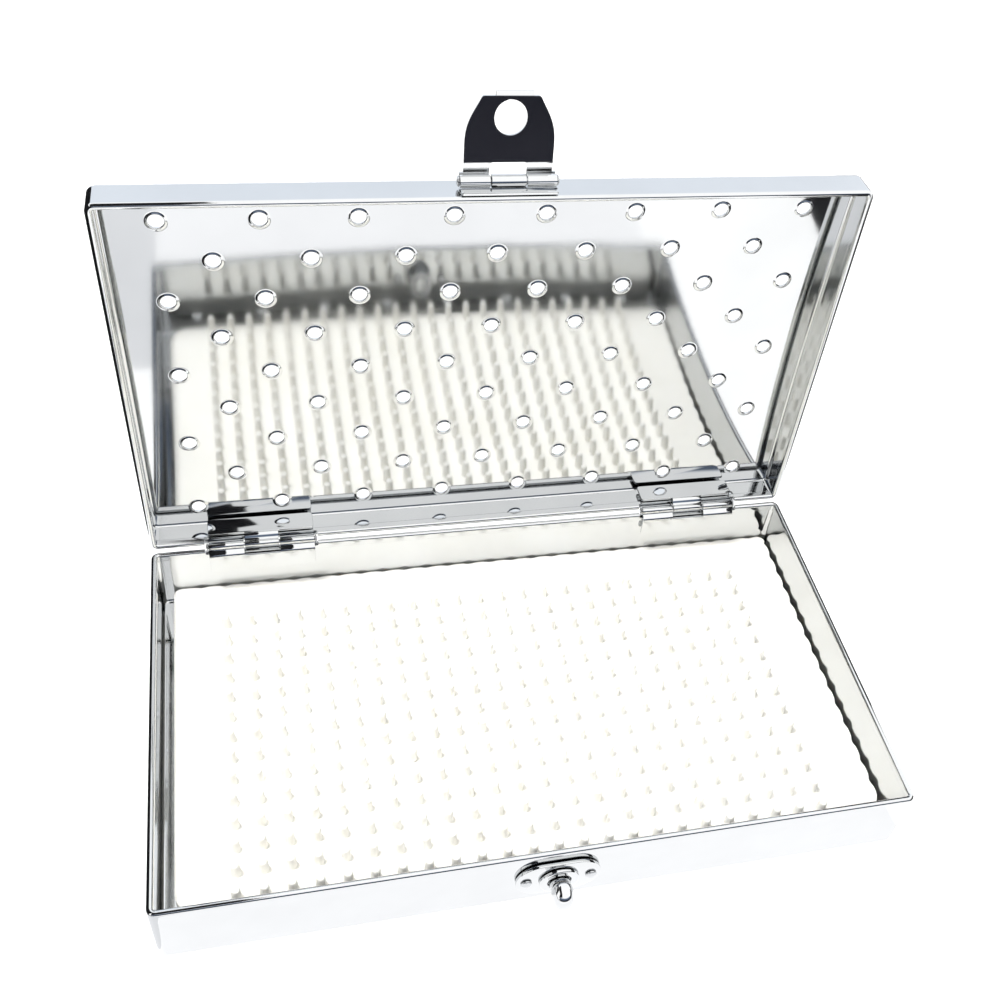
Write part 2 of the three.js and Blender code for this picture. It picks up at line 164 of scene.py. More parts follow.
def boolean(target, cutter, operation):
    m = target.modifiers.new("b", "BOOLEAN")
    m.operation, m.solver, m.object = operation, "EXACT", cutter
    bpy.context.view_layer.update()
    done = bpy.data.meshes.new_from_object(
        target.evaluated_get(bpy.context.evaluated_depsgraph_get())
    )
    target.modifiers.clear()
    old = target.data
    target.data = done
    bpy.data.meshes.remove(old)
    cm = cutter.data
    bpy.data.objects.remove(cutter)
    bpy.data.meshes.remove(cm)


def circle(cx, cy, r, n, phase=0.0):
    return [
        (cx + r * math.cos((i + phase) / n * TAU), cy + r * math.sin((i + phase) / n * TAU))
        for i in range(n)
    ]


def round_rect(hx, hy, r, k=8, cx=0.0, cy=0.0):
    r = max(r, 0.35)
    out = []
    for q, (sx, sy) in enumerate(((1, 1), (-1, 1), (-1, -1), (1, -1))):
        for i in range(k):
            a = (q + i / (k - 1)) * math.pi / 2
            out.append((cx + sx * (hx - r) + r * math.cos(a), cy + sy * (hy - r) + r * math.sin(a)))
    return out


def inset(poly, d):
    """A closed outline moved inwards by d (the outline runs counter-clockwise)."""
    n, out = len(poly), []
    for i in range(n):
        a, b, c = Vector(poly[i - 1]), Vector(poly[i]), Vector(poly[(i + 1) % n])
        e, f = (b - a).normalized(), (c - b).normalized()
        m = Vector((-e.y - f.y, e.x + f.x))
        m = m.normalized() if m.length > 1e-9 else Vector((-e.y, e.x))
        s = d / max(0.5, m.dot(Vector((-e.y, e.x))))
        out.append((b.x + m.x * s, b.y + m.y * s))
    return out


def extrude(poly, a, b, axis, edge=0.1, steps=2):
    """A closed outline drawn along an axis with rounded rims. X: outline is (y, z). Y: outline is (x, z), run
    clockwise as given so that it faces out. Z: outline is (x, y)."""
    m = Build()
    put = {
        "X": lambda u, v, w: (w, u, v),
        "Y": lambda u, v, w: (u, w, v),
        "Z": lambda u, v, w: (u, v, w),
    }[axis]
    rings = []
    for k in range(steps + 1):
        t = k / steps * math.pi / 2
        rings.append((edge * (1 - math.sin(t)), a + edge * (1 - math.cos(t))))
    for k in range(steps, -1, -1):
        t = k / steps * math.pi / 2
        rings.append((edge * (1 - math.sin(t)), b - edge * (1 - math.cos(t))))
    last = None
    flip = axis == "Y"
    first = None
    for d, w in rings:
        pts = inset(poly, d) if d > 1e-6 else poly
        r = m.ring([put(u, v, w) for u, v in pts])
        if last:
            m.bridge(last, r, flip)
        else:
            first = r
        last = r
    m.cap(first, not flip)
    m.cap(last, flip)
    return m


def lathe(profile, n, centre, axis="Y", flip=False):
    """profile: (radius, position along the axis) running so that the faces look out; radius 0 closes an end."""
    m = Build()
    cx, cy = centre

    def at(r, w, k):
        a = k / n * TAU
        u, v = cx + r * math.cos(a), cy + r * math.sin(a)
        return (u, w, v) if axis == "Y" else (w, u, v)

    last = None
    for i, (r, w) in enumerate(profile):
        if r < 1e-6:
            tip = (cx, w, cy) if axis == "Y" else (w, cx, cy)
            if last is None:
                pending = tip
                last = "tip"
            else:
                m.fan(last, tip, flip)
            continue
        ring = m.ring([at(r, w, k) for k in range(n)])
        if last == "tip":
            m.fan(ring, pending, not flip)
        elif last is not None:
            m.bridge(last, ring, flip)
        else:
            first = ring
        last = ring
    if profile[0][0] > 1e-6:
        m.bridge(last, first, flip)
    return m


def facing_out(me):
    """Turns the faces outwards."""
    bm = bmesh.new()
    bm.from_mesh(me)
    bmesh.ops.recalc_face_normals(bm, faces=bm.faces)
    bm.to_mesh(me)
    bm.free()
    me.update()


def arc(cx, cy, r, a0, a1, n):
    return [
        (
            cx + r * math.cos(math.radians(a0 + (a1 - a0) * i / n)),
            cy + r * math.sin(math.radians(a0 + (a1 - a0) * i / n)),
        )
        for i in range(n + 1)
    ]


def bezier(p0, p1, p2, p3, n):
    out = []
    for i in range(n + 1):
        t = i / n
        a, b, c, d = (1 - t) ** 3, 3 * t * (1 - t) ** 2, 3 * t * t * (1 - t), t**3
        out.append(
            (
                a * p0[0] + b * p1[0] + c * p2[0] + d * p3[0],
                a * p0[1] + b * p1[1] + c * p2[1] + d * p3[1],
            )
        )
    return out


def spline(keys, n):
    """Catmull-Rom through rows of numbers."""
    out = []
    k = len(keys)
    for s in range(k - 1):
        p0, p1, p2, p3 = keys[max(0, s - 1)], keys[s], keys[s + 1], keys[min(k - 1, s + 2)]
        for i in range(n):
            t = i / n
            out.append(
                tuple(
                    0.5 * (2 * b + (c - a) * t + (2 * a - 5 * b + 4 * c - d) * t * t
                           + (3 * b - a - 3 * c + d) * t**3)
                    for a, b, c, d in zip(p0, p1, p2, p3)
                )
            )
    out.append(tuple(keys[-1]))
    return out


def band(path, half):
    """Closed counter-clockwise outline of a strip of the given half thickness along a path."""
    n = len(path)
    left, right = [], []
    for i, p in enumerate(path):
        a, b = path[max(0, i - 1)], path[min(n - 1, i + 1)]
        t = Vector((b[0] - a[0], b[1] - a[1])).normalized()
        h = half[i]
        left.append((p[0] - t.y * h, p[1] + t.x * h))
        right.append((p[0] + t.y * h, p[1] - t.x * h))
    poly = right + left[::-1]
    area = sum(
        poly[i - 1][0] * poly[i][1] - poly[i][0] * poly[i - 1][1] for i in range(len(poly))
    )
    return poly if area > 0 else poly[::-1]


# ------------------------------------------------------------------ materials
def nodes_of(mat):
    mat.use_nodes = True
    t = mat.node_tree
    t.nodes.clear()
    out = t.nodes.new("ShaderNodeOutputMaterial")
    b = t.nodes.new("ShaderNodeBsdfPrincipled")
    t.links.new(b.outputs[0], out.inputs[0])
    return t, b


def noise(t, vec, scale, detail=2.0, rough=0.5):
    n = t.nodes.new("ShaderNodeTexNoise")
    n.inputs["Scale"].default_value = scale
    n.inputs["Detail"].default_value = detail
    n.inputs["Roughness"].default_value = rough
    t.links.new(vec, n.inputs["Vector"])
    return n


def stretch(t, vec, s):
    m = t.nodes.new("ShaderNodeMapping")
    m.inputs["Scale"].default_value = s
    t.links.new(vec, m.inputs["Vector"])
    return m.outputs[0]


def ramp(t, fac, stops):
    r = t.nodes.new("ShaderNodeValToRGB")
    e = r.color_ramp.elements
    while len(e) > 1:
        e.remove(e[-1])
    e[0].position, e[0].color = stops[0][0], stops[0][1]
    for p, c in stops[1:]:
        x = e.new(p)
        x.color = c
    t.links.new(fac, r.inputs[0])
    return r.outputs[0]


def steel(name, tint, rough, wave, scratch, patch=0.03):
    """Polished or satin stainless sheet: soft unevenness of the sheet, fine rubbing marks and cloudy gloss."""
    mat = bpy.data.materials.new(name)
    t, b = nodes_of(mat)
    b.inputs["Metallic"].default_value = 1.0
    co = t.nodes.new("ShaderNodeTexCoord").outputs["Object"]
    cloud = noise(t, co, 38, 3, 0.55)
    c0 = tuple(x * (1 - patch) for x in tint) + (1,)
    c1 = tuple(min(1, x * (1 + patch)) for x in tint) + (1,)
    t.links.new(ramp(t, cloud.outputs[0], [(0.3, c0), (0.7, c1)]), b.inputs["Base Color"])
    fine = noise(t, stretch(t, co, (60, 1500, 700)), 1.0, 2, 0.6)
    add = t.nodes.new("ShaderNodeMath")
    add.operation = "MULTIPLY_ADD"
    t.links.new(fine.outputs[0], add.inputs[0])
    add.inputs[1].default_value = scratch
    gloss = t.nodes.new("ShaderNodeMapRange")
    gloss.inputs["From Min"].default_value = 0.3
    gloss.inputs["From Max"].default_value = 0.7
    gloss.inputs["To Min"].default_value = rough * 0.7
    gloss.inputs["To Max"].default_value = rough * 1.4
    t.links.new(cloud.outputs[0], gloss.inputs[0])
    t.links.new(gloss.outputs[0], add.inputs[2])
    t.links.new(add.outputs[0], b.inputs["Roughness"])
    slow = noise(t, co, 17, 1, 0.4)
    b1 = t.nodes.new("ShaderNodeBump")
    b1.inputs["Strength"].default_value = 1.0
    b1.inputs["Distance"].default_value = wave
    t.links.new(slow.outputs[0], b1.inputs["Height"])
    b2 = t.nodes.new("ShaderNodeBump")
    b2.inputs["Strength"].default_value = 1.0
    b2.inputs["Distance"].default_value = wave * 0.004
    t.links.new(fine.outputs[0], b2.inputs["Height"])
    t.links.new(b1.outputs[0], b2.inputs["Normal"])
    t.links.new(b2.outputs[0], b.inputs["Normal"])
    return mat


POLISHED = steel("polished_steel", (0.635, 0.645, 0.65), 0.04, 0.0001, 0.03)
SATIN = steel("satin_steel", (0.56, 0.57, 0.58), 0.2, 0.00006, 0.12, 0.06)


def silicone():
    mat = bpy.data.materials.new("silicone")
    t, b = nodes_of(mat)
    co = t.nodes.new("ShaderNodeTexCoord").outputs["Object"]
    n1 = noise(t, co, 45, 3, 0.55)
    t.links.new(
        ramp(t, n1.outputs[0], [(0.3, (0.86, 0.845, 0.79, 1)), (0.7, (0.9, 0.89, 0.85, 1))]),
        b.inputs["Base Color"],
    )
    n2 = noise(t, co, 900, 2, 0.6)
    r = t.nodes.new("ShaderNodeMapRange")
    r.inputs["To Min"].default_value = 0.42
    r.inputs["To Max"].default_value = 0.6
    t.links.new(n2.outputs[0], r.inputs[0])
    t.links.new(r.outputs[0], b.inputs["Roughness"])
    b.inputs["Subsurface Weight"].default_value = 0.12
    b.inputs["Subsurface Radius"].default_value = (1.0, 0.95, 0.85)
    b.inputs["Subsurface Scale"].default_value = 0.0012
    b.inputs["IOR"].default_value = 1.41
    bump = t.nodes.new("ShaderNodeBump")
    bump.inputs["Strength"].default_value = 0.5
    bump.inputs["Distance"].default_value = 0.00003
    t.links.new(n2.outputs[0], bump.inputs["Height"])
    t.links.new(bump.outputs[0], b.inputs["Normal"])
    return mat


SILICONE = silicone()


def piece(name, me, body, node, mat, degrees=42, flat=None):
    o = me if isinstance(me, bpy.types.Object) else link(name, me)
    o.name = name
    o.data.materials.clear()
    o.data.materials.append(mat)
    smooth(o.data, degrees, flat)
    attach(o, body)
    for n in node if isinstance(node, (list, tuple)) else [node]:
        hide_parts(n)
    return o


# ------------------------------------------------------------------ perforated pans
def hole_centres():
    out = []
    for r in range(HOLE_ROWS):
        n = 7 if r % 2 else 8
        for c in range(n):
            out.append(((c - (n - 1) / 2) * HOLE_PX, (r - (HOLE_ROWS - 1) / 2) * HOLE_PY + HOLE_CY))
    return out


def between(a, b, n):
    return [(a[0] + (b[0] - a[0]) * i / n, a[1] + (b[1] - a[1]) * i / n) for i in range(1, n)]


def crown(x, y):
    """How far the lid's sheet bows outwards between the front and the back bend."""
    u = min(1.0, max(0.0, (y + 55.0) / 110.0))
    return (1.65 + 0.4 * (1 - min(1.0, abs(x) / 97.5) ** 2)) * 4 * u * (1 - u)


def pan(height, hem, bow=None):
    """A folded tray, open at the top, floor at z = 0: rolled rim, bends, and holes with a punched lip."""
    m = Build()
    prof = [(2.6, 0.0), (1.85, 0.0)]
    prof += [(BEND_R - BEND_R * math.sin(a), BEND_R - BEND_R * math.cos(a)) for a in
             (math.radians(15 * i) for i in range(7))]
    prof += [(0, BEND_R + 0.2), (0, height - 1.1)]
    prof += [(0.9 - 0.9 * math.cos(a), height - 0.9 + 0.9 * math.sin(a)) for a in
             (math.radians(15 * i) for i in range(13))]
    e = height - hem
    prof += [(1.8, height - 1.05), (1.8, e + 0.4), (1.8, e + 0.27)]
    prof += [(1.53 + 0.27 * math.cos(a), e + 0.27 - 0.27 * math.sin(a)) for a in
             (math.radians(30 * i) for i in range(1, 4))]
    prof += [(1.2, e), (1.06, e + 0.06), (1.02, e + 0.2), (1.0, e + 0.75), (0.83, e + 0.75)]
    prof += [(0.8, e + 0.5), (0.8, e - 0.3), (0.8, BEND_R + 0.2)]
    prof += [(1.7 - 0.9 * math.cos(a), 1.7 - 0.9 * math.sin(a)) for a in
             (math.radians(18 * i) for i in range(6))]
    prof += [(1.85, SHEET), (2.6, SHEET)]
    last = first = None
    for s, z in prof:
        pts = round_rect(LENGTH / 2 - s, WIDTH / 2 - s, CORNER_R - s)
        if bow:
            # the two short sides carry the bow too
            pts = pts[:16] + between(pts[15], pts[16], 42) + pts[16:] + between(pts[31], pts[0], 42)
        r = m.ring([(x, y, z) for x, y in pts])
        if last:
            m.bridge(last, r)
        else:
            first = r
        last = r
    n = 28
    lips = [
        (1.15, 0.0), (0.85, 0.0), (0.6, 0.025), (0.38, 0.08), (0.2, 0.16), (0.06, 0.26),
        (0.0, 0.36), (0.0, 0.8), (0.03, 0.94), (0.11, 1.03), (0.22, 1.06), (0.34, 1.03),
        (0.52, 0.93), (0.72, 0.84), (0.92, SHEET), (1.15, SHEET),
    ]
    low, high, discs = [], [], []
    for x, y in hole_centres():
        prev = None
        for d, z in lips:
            r = m.ring([(a, b, z) for a, b in circle(x, y, HOLE_R + d, n)])
            if prev is None:
                low.append(r)
            else:
                m.bridge(prev, r, True)
            prev = r
        high.append(prev)
        discs.append((x, y, HOLE_R + 1.15))
    spots = []
    if bow:
        # extra points carry the bow of the sheet
        for i in range(-38, 39):
            for j in range(-21, 22):
                x, y = i * 2.5, j * 2.5
                if all((x - a) ** 2 + (y - b) ** 2 > (r + 0.8) ** 2 for a, b, r in discs):
                    spots.append((x, y))
    m.plate(first, low, discs, flip=True, spots=[(x, y, 0.0) for x, y in spots])
    m.plate(last, high, discs, flip=False, spots=[(x, y, SHEET) for x, y in spots])
    if bow:
        m.v = [
            (x, y, z - bow(x, y) * min(1.0, max(0.0, (height - hem - 0.6 - z) / (height - hem - 3.4))))
            for x, y, z in m.v
        ]
    return m


def seat_cutter(cx):
    """Room for a hinge barrel: a slot with rounded corners through both rims."""
    pts = round_rect(HINGE_HALF + 1.1, 1.5, 0.5, 5, cx, PIVOT_Z)
    b = Build()
    a0 = b.ring([(x, PIVOT_Y - 2.4, z) for x, z in pts])
    a1 = b.ring([(x, PIVOT_Y + 2.5, z) for x, z in pts])
    b.bridge(a0, a1, True)
    b.cap(a0)
    b.cap(a1, True)
    return link("cut", b.mesh("cut"))


def bore_cutter(x, z, r, n=40):
    b = Build()
    a0 = b.ring([(p, WALL_OUT - 2.0, q) for p, q in circle(x, z, r, n)])
    a1 = b.ring([(p, WALL_OUT + 2.0, q) for p, q in circle(x, z, r, n)])
    b.bridge(a0, a1, True)
    b.cap(a0)
    b.cap(a1, True)
    return link("cut", b.mesh("cut"))


tray = link("tray", pan(TRAY_H, TRAY_HEM).mesh("tray"))
for s in (-1, 1):
    boolean(tray, seat_cutter(s * HINGE_X), "DIFFERENCE")
boolean(tray, bore_cutter(0, KNOB_Z, 3.0), "DIFFERENCE")
for s in (-1, 1):
    boolean(tray, bore_cutter(s * 8.6, KNOB_Z, 1.1), "DIFFERENCE")
piece("tray_shell", tray, "base", "base_tray", POLISHED, 50)

turn_over = Matrix.Translation((0, 0, LID_TOP)) @ Matrix.Rotation(math.pi, 4, "X")
lid = link("lid", pan(LID_D, LID_HEM, crown).mesh("lid", turn_over))
for s in (-1, 1):
    boolean(lid, seat_cutter(s * HINGE_X), "DIFFERENCE")
METRE_SWING = SWING.copy()
METRE_SWING.translation = SWING.translation * 0.001
lid.data.transform(METRE_SWING)
piece("lid_panel", lid, "lid", "lid_shell", POLISHED, 50)


# ------------------------------------------------------------------ silicone mat
PITCH_X, PITCH_Y = 6.944, 6.756
COLS, ROWS = 24, 14
MAT_X0, MAT_X1, MAT_Y0, MAT_Y1 = -95.4, 98.6, -50.2, 56.5
PEG_CX, PEG_CY = -0.45, -3.85
MAT_LOW, MAT_TOP = 1.1, 6.5


def peg_xy(i, j):
    return (i - (COLS - 1) / 2) * PITCH_X + PEG_CX, (j - (ROWS - 1) / 2) * PITCH_Y + PEG_CY


def mat_outline(d):
    """Outline of the mat moved in by d: cut straight at the front and left, scalloped at the back and right."""
    pts = []
    x0, x1, y0, y1 = MAT_X0 + d, MAT_X1 - d, MAT_Y0 + d, MAT_Y1 - d
    rf, rb = 6.0 - d, 2.4 - d

    def corner(cx, cy, r, q, k=7):
        for i in range(k):
            a = (q + i / (k - 1)) * math.pi / 2
            pts.append((cx + r * math.cos(a), cy + r * math.sin(a)))

    corner(x1 - rb, y1 - rb, rb, 0)
    steps = 8 * COLS
    for i in range(1, steps * 2):
        x = (x1 - rb) + (x0 + rb - (x1 - rb)) * i / (steps * 2)
        if i % 2:
            continue
        w = 0.5 + 0.5 * math.cos(((x - PEG_CX) / PITCH_X + 0.5) * TAU)
        pts.append((x, y1 - 0.45 * w**2))
    corner(x0 + rb, y1 - rb, rb, 1)
    corner(x0 + rf, y0 + rf, rf, 2)
    corner(x1 - rf, y0 + rf, rf, 3)
    steps = 8 * ROWS
    for i in range(1, steps):
        y = (y0 + rf) + (y1 - rb - (y0 + rf)) * i / steps
        w = 0.5 + 0.5 * math.cos(((y - PEG_CY) / PITCH_Y + 0.5) * TAU)
        pts.append((x1 - 0.6 * w**2, y))
    return pts


def finger_mat():
    m = Build()
    rings = [(0.35, MAT_LOW), (0.1, MAT_LOW + 0.12), (0.0, MAT_LOW + 0.4), (0.0, MAT_TOP - 0.5)]
    rings += [
        (0.3 - 0.3 * math.cos(a), MAT_TOP - 0.3 + 0.3 * math.sin(a))
        for a in (math.radians(22.5 * i) for i in range(5))
    ]
    rings += [(0.4, MAT_TOP)]
    last = first = None
    for d, z in rings:
        r = m.ring([(x, y, z) for x, y in mat_outline(d)])
        if last:
            m.bridge(last, r)
        else:
            first = r
        last = r
    m.plate(first, [], [], flip=True)
    n = 16
    prof = [(1.72, 0.0), (1.6, 0.03), (1.49, 0.12), (1.42, 0.28), (1.38, 0.55), (1.27, 2.4),
            (1.16, 4.0), (1.1, 4.35), (0.97, 4.62), (0.74, 4.78), (0.42, 4.84)]
    holes, discs = [], []
    for i in range(COLS):
        for j in range(ROWS):
            x, y = peg_xy(i, j)
            wob = math.sin(i * 12.9898 + j * 78.233) * 43758.5453
            wob -= math.floor(wob)
            lean = 0.1 * (wob - 0.5)
            lean2 = 0.1 * (math.sin(wob * 40))
            prev = None
            for d, h in prof:
                s = (h / 4.84) ** 1.5
                r = m.ring(
                    [(a, b, MAT_TOP + h) for a, b in circle(x + lean * s, y + lean2 * s, d, n)]
                )
                if prev is None:
                    holes.append(r)
                else:
                    m.bridge(prev, r)
                prev = r
            m.fan(prev, (x + lean, y + lean2, MAT_TOP + 4.85))
            discs.append((x, y, 1.72))
    m.plate(last, holes, discs)
    return m


piece("finger_mat", finger_mat().mesh("finger_mat"), "base", "silicone_mat", SILICONE, 60)


# ------------------------------------------------------------------ hinges
def knuckle_path(up):
    """The leaf's strip from its flat part round the pin: (y, z) from the pin, and half thicknesses."""
    path = [(-2.5, -3.4), (-2.5, -2.6)] + bezier(
        (-2.5, -2.1), (-2.5, -1.2), (-1.01, -1.0), (-1.0, 0.0), 8
    )
    half = [0.4] * 2 + [0.4 - 0.18 * i / 8 for i in range(9)]
    wrap = arc(0, 0, 1.0, 180, -118, 26)[1:]
    path += wrap
    half += [0.22] * len(wrap)
    if up:
        path = [(y, -z) for y, z in path]
    return path, half


def hinge_leaf(name, cx, up, reach, knuckles, matrix):
    sgn = 1 if up else -1
    lo, hi = sorted((PIVOT_Z + sgn * reach, PIVOT_Z + sgn * 2.15))
    hx, hz = HINGE_HALF, (hi - lo) / 2
    outline = []
    for x, z in round_rect(hx, hz, 0.9, 6, cx, (lo + hi) / 2):
        outline.append((x, z))
    plate = extrude(outline, PIVOT_Y - 2.9, PIVOT_Y - 2.1, "Y", 0.12, 3)
    o = link(name, plate.mesh(name))
    path, half = knuckle_path(up)
    poly = [(PIVOT_Y + y, PIVOT_Z + z) for y, z in band(path, half)]
    for a, b in knuckles:
        k = link("k", extrude(poly, cx + a, cx + b, "X", 0.08, 2).mesh("k"))
        boolean(o, k, "UNION")
    if matrix is not HERE:
        mm = matrix.copy()
        mm.translation = matrix.translation * 0.001
        o.data.transform(mm)
    return o


def pin(half, r, head, y, z, cx=0.0):
    prof = [(0, cx - half - 0.86)]
    for i in range(1, 5):
        a = math.radians(22.5 * i)
        prof.append((head * math.sin(a), cx - half - 0.32 - 0.54 * math.cos(a)))
    prof += [(head, cx - half - 0.24), (head * 0.96, cx - half - 0.18), (r + 0.05, cx - half - 0.16),
             (r, cx - half - 0.1), (r, cx + half + 0.1), (r + 0.05, cx + half + 0.16),
             (head * 0.96, cx + half + 0.18), (head, cx + half + 0.24)]
    for i in range(4, 0, -1):
        a = math.radians(22.5 * i)
        prof.append((head * math.sin(a), cx + half + 0.32 + 0.54 * math.cos(a)))
    prof.append((0, cx + half + 0.86))
    return lathe(prof, 28, (y, z), "X")


TRAY_KNUCKLES = [(-HINGE_HALF, -5.3), (5.3, HINGE_HALF)]
LID_KNUCKLES = [(-4.95, 4.95)]
for side, cx in (("left", -HINGE_X), ("right", HINGE_X)):
    o = hinge_leaf("hl", cx, False, 8.2, TRAY_KNUCKLES, HERE)
    piece(f"hinge_leaf_tray_{side}", o, "base", f"hinge_{side}_tray_leaf", POLISHED, 40)
    o = hinge_leaf("hu", cx, True, 8.5, LID_KNUCKLES, SWING)
    piece(f"hinge_leaf_lid_{side}", o, "lid", f"hinge_{side}_lid_leaf", POLISHED, 40)
    me = pin(HINGE_HALF, 0.7, 1.05, PIVOT_Y, PIVOT_Z, cx).mesh("pin")
    facing_out(me)
    piece(f"pin_{side}", me, "base", f"hinge_{side}_pin", SATIN, 50)


# ------------------------------------------------------------------ hasp
HASP_HALF = 12.3


def metre(matrix):
    mm = matrix.copy()
    mm.translation = matrix.translation * 0.001
    return mm


def hasp_fixed():
    lo, hi = TRAY_H + SEAM + 0.5, HASP_Z - 1.95
    out = round_rect(HASP_HALF, (hi - lo) / 2, 0.5, 5, 0, (lo + hi) / 2)
    o = link("hf", extrude(out, WALL_OUT - 1.1, WALL_OUT - 0.3, "Y", 0.1, 3).mesh("hf"))
    path = [(1.25, -3.6), (1.25, -2.6)] + bezier((1.25, -2.2), (1.25, -1.4), (1.37, -1.0), (1.37, 0.0), 6)
    half = [0.4, 0.4] + [0.4 - 0.12 * i / 6 for i in range(7)]
    wrap = arc(0, 0, 1.37, 0, 292, 26)[1:]
    path += wrap
    half += [0.28] * len(wrap)
    poly = [(HASP_Y + y, HASP_Z + z) for y, z in band(path, half)]
    k = link("k", extrude(poly, -4.4, 4.4, "X", 0.1, 2).mesh("k"))
    boolean(o, k, "UNION")
    o.data.transform(metre(SWING))
    return o


def hasp_leaf():
    # side view of the strip: rolled knuckle, a small outward swell below it, then flat
    path = [
        (1.37 * math.cos(math.radians(a)), 1.37 * math.sin(math.radians(a)))
        for a in range(-92, 181, 11)
    ]
    path.append((-1.37, 0.0))
    path += bezier((-1.37, 0.0), (-1.45, -0.5), (-1.68, -0.7), (-1.66, -1.2), 4)[1:]
    path += bezier((-1.66, -1.2), (-1.63, -1.7), (-1.36, -3.0), (-1.27, -3.9), 6)[1:]
    path += bezier((-1.27, -3.9), (-1.25, -4.2), (-1.25, -4.3), (-1.25, -4.6), 3)[1:]
    path += [(-1.25, -5.4), (-1.25, -HASP_LEN_FLAT)]
    k0 = 26
    half = [0.28] * k0
    while len(half) < len(path):
        half.append(min(0.4, half[-1] + 0.015))
    half = half[: len(path)]
    poly = [(HASP_Y + y, HASP_Z + z) for y, z in band(path, half)]
    o = link("leaf", extrude(poly, -12.3, 12.3, "X", 0.0001, 1).mesh("leaf"))
    # keep what lies inside the front outline: knuckles full width, leaf narrower with sloping shoulders
    w, e = 11.3, HASP_LEN
    side = [(w, -1.75)] + spline(
        [(w, 11.9 - e), (w - 0.1, 9.9 - e), (w - 0.4, 8 - e), (w - 0.95, 6.2 - e), (w - 1.65, 4.6 - e),
         (w - 2.45, 3.1 - e), (w - 3.3, 1.6 - e), (w - 3.75, 0.75 - e)], 3)
    side += [(w - 3.95, 0.4 - e), (w - 4.2, 0.12 - e), (w - 4.6, -e)]
    right = [(12.3, 3.0), (12.3, -1.62), (11.5, -1.66)] + side
    outline = [(x, z) for x, z in right] + [(-x, z) for x, z in reversed(right)]
    outline = [(x, HASP_Z + z) for x, z in outline]
    b = Build()
    a0 = b.ring([(x, HASP_Y - 4.0, z) for x, z in outline])
    a1 = b.ring([(x, HASP_Y + 4.0, z) for x, z in outline])
    b.bridge(a0, a1, True)
    b.cap(a0)
    b.cap(a1, True)
    me = b.mesh("keep")
    facing_out(me)
    boolean(o, link("keep", me), "INTERSECT")
    # notch between the knuckles
    b = Build()
    pts = [(x, z + HASP_Z) for x, z in [
        (-4.75, 3.2), (-4.75, -3.7), (-4.6, -4.15), (-4.1, -4.4), (4.1, -4.4), (4.6, -4.15),
        (4.75, -3.7), (4.75, 3.2)]]
    a0 = b.ring([(x, HASP_Y - 5.0, z) for x, z in pts])
    a1 = b.ring([(x, HASP_Y + 5.0, z) for x, z in pts])
    b.bridge(a0, a1)
    b.cap(a0, True)
    b.cap(a1)
    me = b.mesh("notch")
    facing_out(me)
    boolean(o, link("notch", me), "DIFFERENCE")
    # oblong hole for the knob's wing
    b = Build()
    pts = [(4.1 * math.cos((i + 0.5) / 48 * TAU), HASP_Z - HASP_HOLE + 4.4 * math.sin((i + 0.5) / 48 * TAU))
           for i in range(48)]
    a0 = b.ring([(x, HASP_Y - 5.0, z) for x, z in pts])
    a1 = b.ring([(x, HASP_Y + 5.0, z) for x, z in pts])
    b.bridge(a0, a1)
    b.cap(a0, True)
    b.cap(a1)
    me = b.mesh("hole")
    facing_out(me)
    boolean(o, link("hole", me), "DIFFERENCE")
    # finger lip turned out at the free end
    e = HASP_LEN
    path = [(-1.25, 0.8 - e), (-1.25, 0.4 - e)] + bezier((-1.25, 0.2 - e), (-1.25, -0.3 - e), (-1.5, -0.6 - e), (-1.95, -0.8 - e), 6)
    half = [0.4] * len(path)
    half[-1], half[-2] = 0.33, 0.39
    poly = [(HASP_Y + y, HASP_Z + z) for y, z in band(path, half)]
    boolean(o, link("lip", extrude(poly, -4.0, 5.6, "X", 0.15, 3).mesh("lip")), "UNION")
    o.data.transform(metre(HASP))
    # soften the cut edges
    m = o.modifiers.new("edge", "BEVEL")
    m.width, m.segments, m.limit_method, m.angle_limit = 0.00011, 2, "ANGLE", math.radians(50)
    m.use_clamp_overlap = True
    bpy.context.view_layer.update()
    done = bpy.data.meshes.new_from_object(o.evaluated_get(bpy.context.evaluated_depsgraph_get()))
    o.modifiers.clear()
    o.data = done
    return o


HASP_LEN_FLAT = 24.0
piece("hasp_hinge_leaf", hasp_fixed(), "lid", "hasp_fixed_leaf", POLISHED, 40)
piece("hasp_plate", hasp_leaf(), "hasp", "hasp_leaf", POLISHED, 32, 1.5)
me = pin(HASP_HALF, 0.92, 1.35, HASP_Y, HASP_Z).mesh("hp", SWING)
facing_out(me)
piece("hasp_hinge_pin", me, "lid", "hasp_pin", SATIN, 50)


# ------------------------------------------------------------------ latch and knob on the front wall
def out_by(p):
    return WALL_OUT - p


def latch_plate():
    pts, c, r = [], 11.3 - 7.0, 7.0
    for i in range(25):
        a = -math.pi / 2 + math.pi * i / 24
        pts.append((c + r * math.cos(a), KNOB_Z + r * math.sin(a)))
    for i in range(25):
        a = math.pi / 2 + math.pi * i / 24
        pts.append((-c + r * math.cos(a), KNOB_Z + r * math.sin(a)))
    o = link("lp", extrude(pts, out_by(1.3), out_by(0.3), "Y", 0.22, 4).mesh("lp"))
    boolean(o, bore_cutter(0, KNOB_Z, 3.0), "DIFFERENCE")
    for s in (-1, 1):
        boolean(o, bore_cutter(s * 8.6, KNOB_Z, 1.1), "DIFFERENCE")
    return o


piece("latch_face_plate", latch_plate(), "base", "latch_plate", POLISHED, 35)

